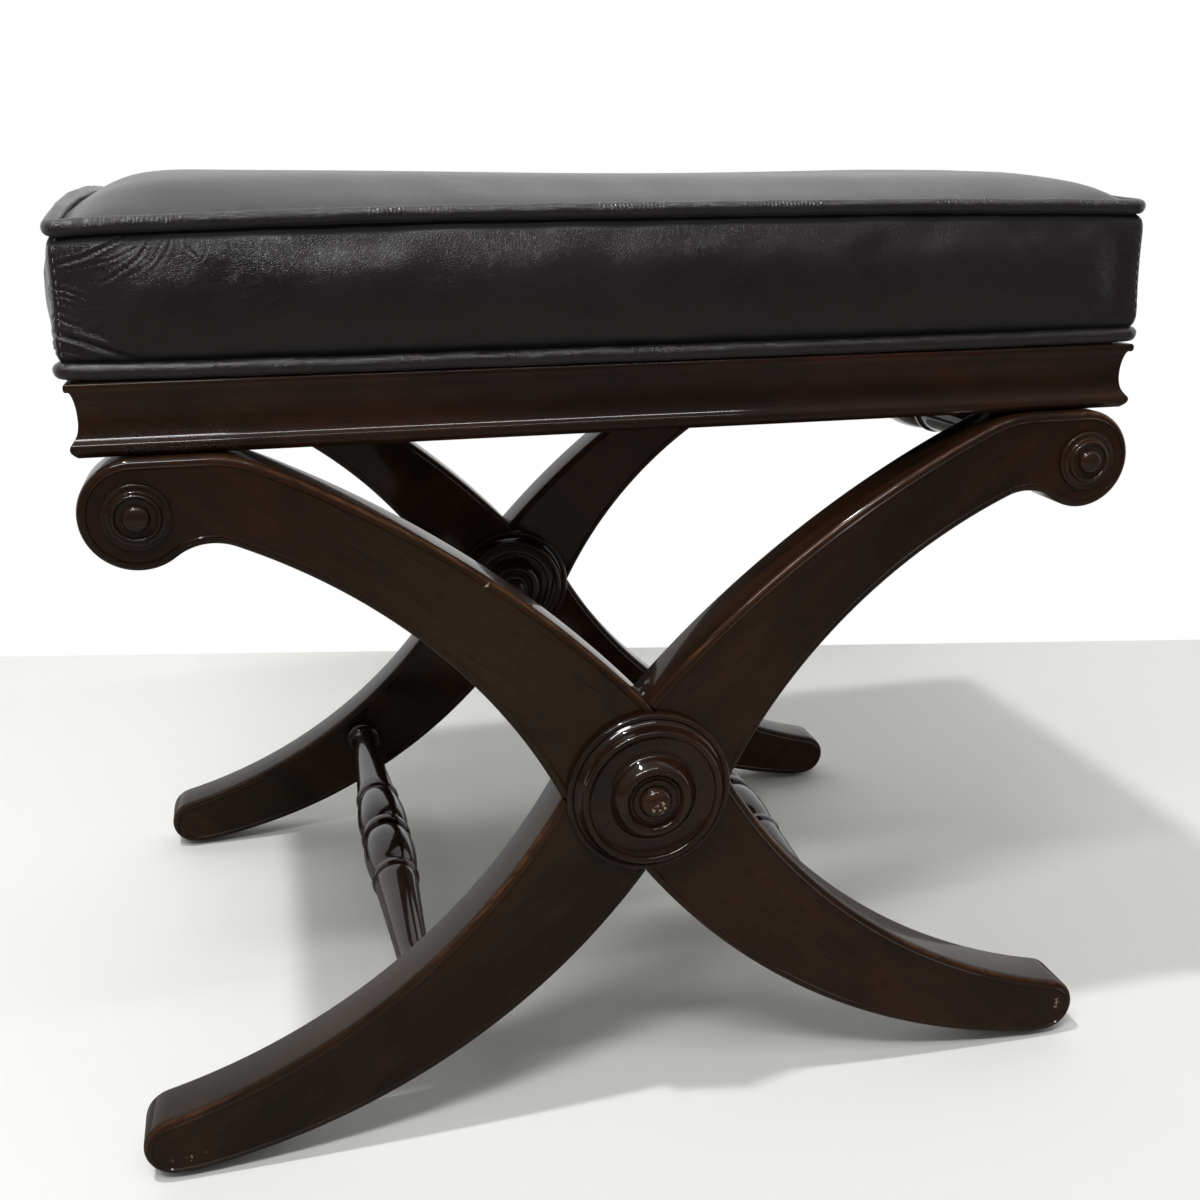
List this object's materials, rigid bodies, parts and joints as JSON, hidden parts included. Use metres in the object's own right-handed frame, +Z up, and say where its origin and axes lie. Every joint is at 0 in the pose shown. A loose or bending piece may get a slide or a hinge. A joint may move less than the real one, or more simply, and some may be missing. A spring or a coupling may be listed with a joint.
{
  "type": "x-leg ottoman",
  "caption": "Low upholstered ottoman: boxed leather cushion on a coved wooden apron, carried by two crossing x-shaped end frames with turned stretchers, bosses and scroll rosettes.",
  "frame": {"origin": "centre of the ottoman's footprint, on the floor", "axes": "+Z up, +X to the right seen from the front, the front faces -Y"},
  "size_m": [0.564, 0.4772, 0.5258],
  "materials": {
    "frame_wood": "dark espresso mahogany, satin lacquer",
    "turned_wood": "dark espresso mahogany, turned, satin lacquer",
    "worn_wood": "mahogany with the lacquer rubbed through",
    "apron_wood": "dark espresso mahogany, satin lacquer",
    "pale_wood": "unfinished beech",
    "plywood": "unfinished birch plywood",
    "leather": "dark aubergine-brown leather with a soft sheen",
    "welt_leather": "dark aubergine-brown leather over cord",
    "foam": "upholstery foam",
    "cambric": "black cambric",
    "steel": "zinc plated",
    "glide": "dark nylon"
  },
  "bodies": {
    "root": {"apron_rail_front": "apron_wood", "apron_rail_left": "apron_wood", "apron_rail_rear": "apron_wood", "apron_rail_right": "apron_wood", "corner_block_front_left": "pale_wood", "corner_block_front_right": "pale_wood", "corner_block_rear_left": "pale_wood", "corner_block_rear_right": "pale_wood", "dust_cover": "cambric", "front_boss_inner": "turned_wood", "front_boss_outer": "turned_wood", "front_button_inner": "worn_wood", "front_button_outer": "worn_wood", "front_crossing_dowel": "pale_wood", "front_glide_left": "glide", "front_glide_right": "glide", "front_leg_falling": "frame_wood", "front_leg_rising": "frame_wood", "front_rosette_left": "turned_wood", "front_rosette_right": "turned_wood", "front_scroll_dowel_left": "pale_wood", "front_scroll_dowel_right": "pale_wood", "leather_band_front": "leather", "leather_band_left": "leather", "leather_band_rear": "leather", "leather_band_right": "leather", "leather_top": "leather", "lower_stretcher_left": "turned_wood", "lower_stretcher_right": "turned_wood", "rear_boss_inner": "turned_wood", "rear_boss_outer": "turned_wood", "rear_button_inner": "worn_wood", "rear_button_outer": "worn_wood", "rear_crossing_dowel": "pale_wood", "rear_glide_left": "glide", "rear_glide_right": "glide", "rear_leg_falling": "frame_wood", "rear_leg_rising": "frame_wood", "rear_rosette_left": "turned_wood", "rear_rosette_right": "turned_wood", "rear_scroll_dowel_left": "pale_wood", "rear_scroll_dowel_right": "pale_wood", "seat_board": "plywood", "seat_foam": "foam", "seat_screw_front_left": "steel", "seat_screw_front_right": "steel", "seat_screw_rear_left": "steel", "seat_screw_rear_right": "steel", "upper_stretcher_left": "turned_wood", "upper_stretcher_right": "turned_wood", "welt_bottom": "welt_leather", "welt_top": "welt_leather"}
  },
  "joints": []
}
